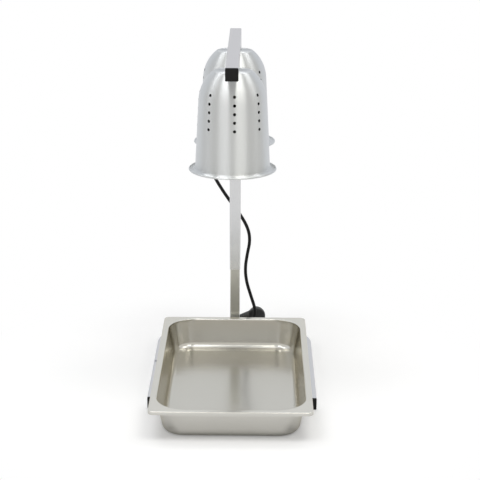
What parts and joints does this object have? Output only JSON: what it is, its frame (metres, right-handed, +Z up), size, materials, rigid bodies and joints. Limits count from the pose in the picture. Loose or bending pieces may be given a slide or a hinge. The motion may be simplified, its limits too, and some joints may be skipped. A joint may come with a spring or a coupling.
{
  "type": "food heat lamp",
  "caption": "Table-top food heat lamp: bell shades hang from a square arm on a height-adjustable post over a gastronorm pan held in a U-shaped tube base, with mains lead and plug.",
  "frame": {"origin": "on the table, midway across the base, midway between the pan's front edge and the rearmost point behind the post (the cord and plug left out)", "axes": "+Z up; -Y towards the front, where the arm and the pan point; +X to the right seen from the front"},
  "size_m": [0.351, 0.694, 0.729],
  "materials": {
    "spun_aluminium": "satin, spun",
    "silver_tube": "matte silver",
    "post_steel": "satin",
    "pan_steel": "satin",
    "black_plastic": "moulded, matt",
    "cord_rubber": "smooth, matt",
    "zinc_steel": "zinc plated",
    "pin_metal": "nickel plated",
    "white_ceramic": "unglazed, smooth",
    "brass": "plain",
    "bulb_cap_metal": "plain",
    "lamp_glass": "frosted",
    "white_nylon": "moulded",
    "wire_sleeve": "extruded sleeve"
  },
  "bodies": {
    "base": {"base_tube": "silver_tube", "base_end_caps": "black_plastic", "lower_post": "post_steel", "post_foot_block": "zinc_steel", "post_bolt": "zinc_steel", "post_washer": "zinc_steel", "post_glide": "black_plastic", "cord_lead": "cord_rubber", "cord_coil": "cord_rubber", "cord_tie": "black_plastic", "cord_tail": "cord_rubber", "plug_body": "cord_rubber", "plug_pins": "pin_metal", "plug_earth_clips": "pin_metal"},
    "mast": {"upper_post": "silver_tube", "lamp_arm": "silver_tube", "arm_end_cap": "black_plastic", "lock_nut": "zinc_steel", "cord_gland": "black_plastic", "gland_nut": "black_plastic", "supply_cable": "cord_rubber", "terminal_block": "white_nylon", "terminal_screw": "zinc_steel", "supply_wires": "wire_sleeve", "lamp_wires": "wire_sleeve", "front_shade": "spun_aluminium", "front_nipple": "zinc_steel", "front_nipple_nuts": "zinc_steel", "front_lamp_holder": "white_ceramic", "front_screw_shell": "brass", "front_contact": "brass", "front_bulb_cap": "bulb_cap_metal", "front_bulb_glass": "lamp_glass", "rear_shade": "spun_aluminium", "rear_nipple": "zinc_steel", "rear_nipple_nuts": "zinc_steel", "rear_lamp_holder": "white_ceramic", "rear_screw_shell": "brass", "rear_contact": "brass", "rear_bulb_cap": "bulb_cap_metal", "rear_bulb_glass": "lamp_glass"},
    "clamp_screw": {"lock_knob": "black_plastic", "lock_stud": "zinc_steel"},
    "pan": {"food_pan": "pan_steel"}
  },
  "joints": [
    {"name": "mast_slide", "type": "slide", "parent": "base", "child": "mast", "axis": [0, 0, 1], "range_m": [-0.14, 0.1], "deforming": ["cord_lead"]},
    {"name": "clamp_turn", "type": "hinge", "parent": "mast", "child": "clamp_screw", "pos_m": [0, 0.27175, 0.197], "axis": [0, 1, 0], "range_deg": [0, 360]},
    {"name": "pan_slide", "type": "slide", "parent": "base", "child": "pan", "axis": [0, -1, 0], "range_m": [0, 0.4]}
  ]
}
